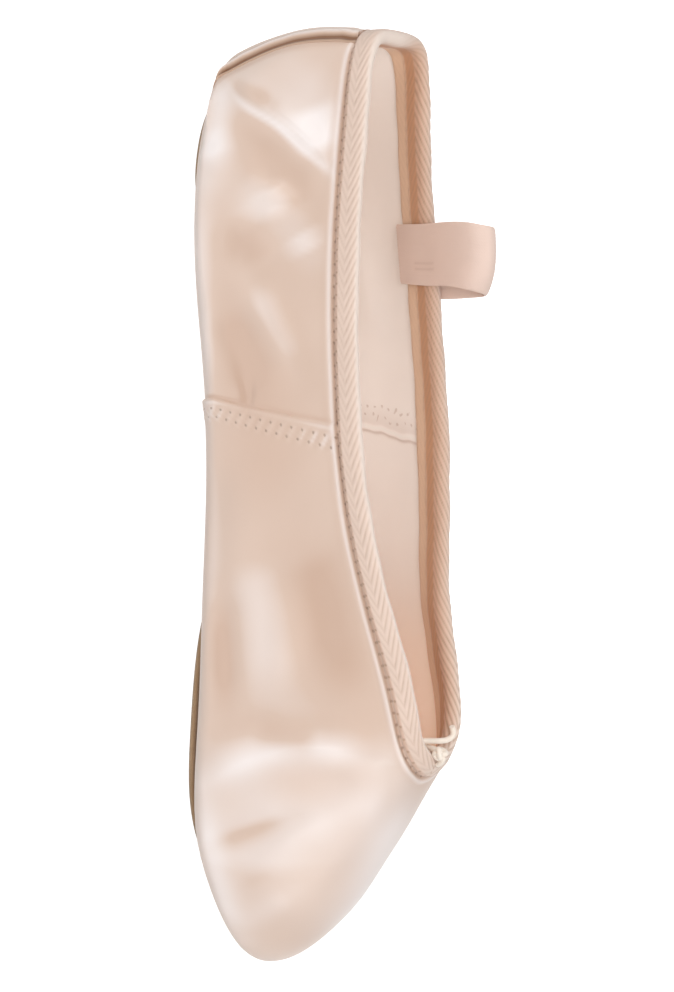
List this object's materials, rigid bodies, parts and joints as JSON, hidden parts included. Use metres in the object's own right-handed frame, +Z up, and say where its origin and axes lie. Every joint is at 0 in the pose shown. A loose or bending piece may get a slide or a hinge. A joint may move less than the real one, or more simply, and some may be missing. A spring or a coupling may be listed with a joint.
{
  "type": "ballet shoe",
  "caption": "Soft split-sole ballet slipper in pale satin for the left foot, with a taped collar, drawstring and one elastic loop.",
  "frame": {"origin": "on the floor, at the middle of the heel patch's underside", "axes": "+X from heel to toe, +Y to the wearer's left, which is the outer side of this left shoe, +Z up"},
  "size_m": [0.2391, 0.0688, 0.0678],
  "materials": {
    "satin": "pale pink-beige satin, soft gloss along the folds",
    "sole_suede": "brown split suede, matt",
    "insole_cotton": "cream cotton, matt",
    "tape": "herringbone cotton tape, matt",
    "satin_strip": "folded satin strip, soft gloss",
    "elastic": "pink-beige ribbed elastic, slight sheen",
    "cord": "off-white soft elastic cord"
  },
  "bodies": {
    "root": {"upper": "satin", "outsole_forefoot": "sole_suede", "outsole_heel": "sole_suede", "insole_forefoot": "insole_cotton", "insole_heel": "insole_cotton", "topline_binding": "tape", "back_seam_strip": "satin_strip", "elastic_loop": "elastic", "drawstring": "cord", "drawstring_knot": "cord"}
  },
  "joints": []
}
